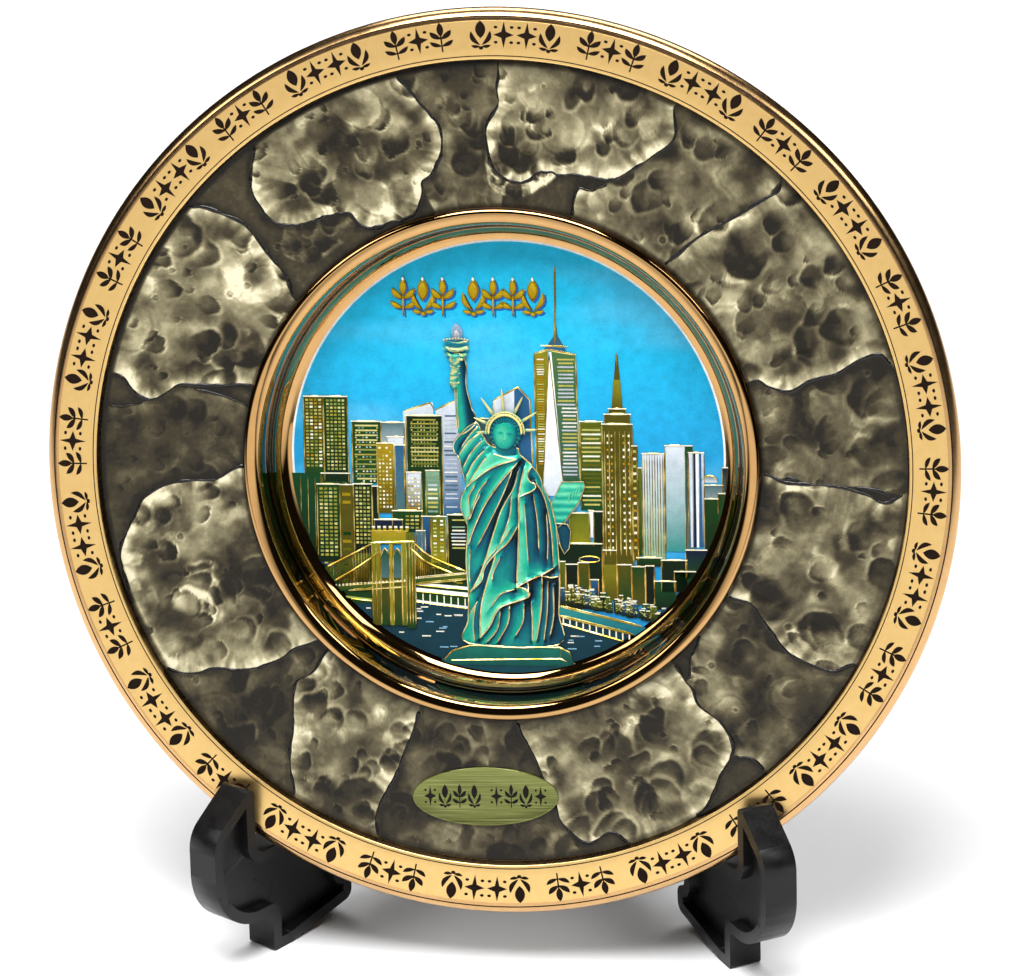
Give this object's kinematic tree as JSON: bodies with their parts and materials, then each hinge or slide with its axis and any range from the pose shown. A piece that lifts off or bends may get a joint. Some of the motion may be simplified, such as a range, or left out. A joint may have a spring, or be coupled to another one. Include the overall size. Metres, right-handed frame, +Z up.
{
  "type": "souvenir plate on stand",
  "caption": "Round porcelain display plate with a gilt rim, a marbled well and a framed picture disc, leaning in a black folding stand.",
  "frame": {"origin": "centre of the box's bottom, on the table under the stand", "axes": "+Z up; the picture faces -Y and leans back towards +Y; +X is to the viewer's right"},
  "size_m": [0.2, 0.0968, 0.2078],
  "materials": {
    "marbled_glaze": "glossy grey marbled glaze",
    "gold_transfer": "satin gold transfer with a dark printed pattern",
    "polished_gold": "mirror polished gold",
    "etched_metal": "etched, coloured and gilded",
    "pad_foam": "foam",
    "label_metal": "brushed",
    "tape": "adhesive film",
    "black_plastic": "moulded, grained web",
    "pin_steel": "plain"
  },
  "bodies": {
    "hinge_pin": {"hinge_pin": "pin_steel"},
    "plate": {"plate_body": "marbled_glaze", "gold_band": "gold_transfer", "bezel_ring": "polished_gold", "medallion_disc": "etched_metal", "medallion_pad": "pad_foam", "label_plate": "label_metal", "label_adhesive": "tape"},
    "left_panel": {"stand_left": "black_plastic"},
    "right_panel": {"stand_right": "black_plastic"}
  },
  "joints": [
    {"name": "plate_lift", "type": "slide", "parent": "hinge_pin", "child": "plate", "axis": [0, -0.0499, 0.9988], "range_m": [0, 0.1]},
    {"name": "fold_left", "type": "hinge", "parent": "hinge_pin", "child": "left_panel", "pos_m": [0, 0.04417, 0], "axis": [0, 0, 1], "range_deg": [0, 33]},
    {"name": "fold_right", "type": "hinge", "parent": "hinge_pin", "child": "right_panel", "pos_m": [0, 0.04417, 0], "axis": [0, 0, 1], "range_deg": [-33, 0]}
  ],
  "couplings": [
    {"joint": "fold_left", "follows": "plate_lift", "rad_per_m": 5.75},
    {"joint": "fold_right", "follows": "plate_lift", "rad_per_m": -5.75}
  ]
}
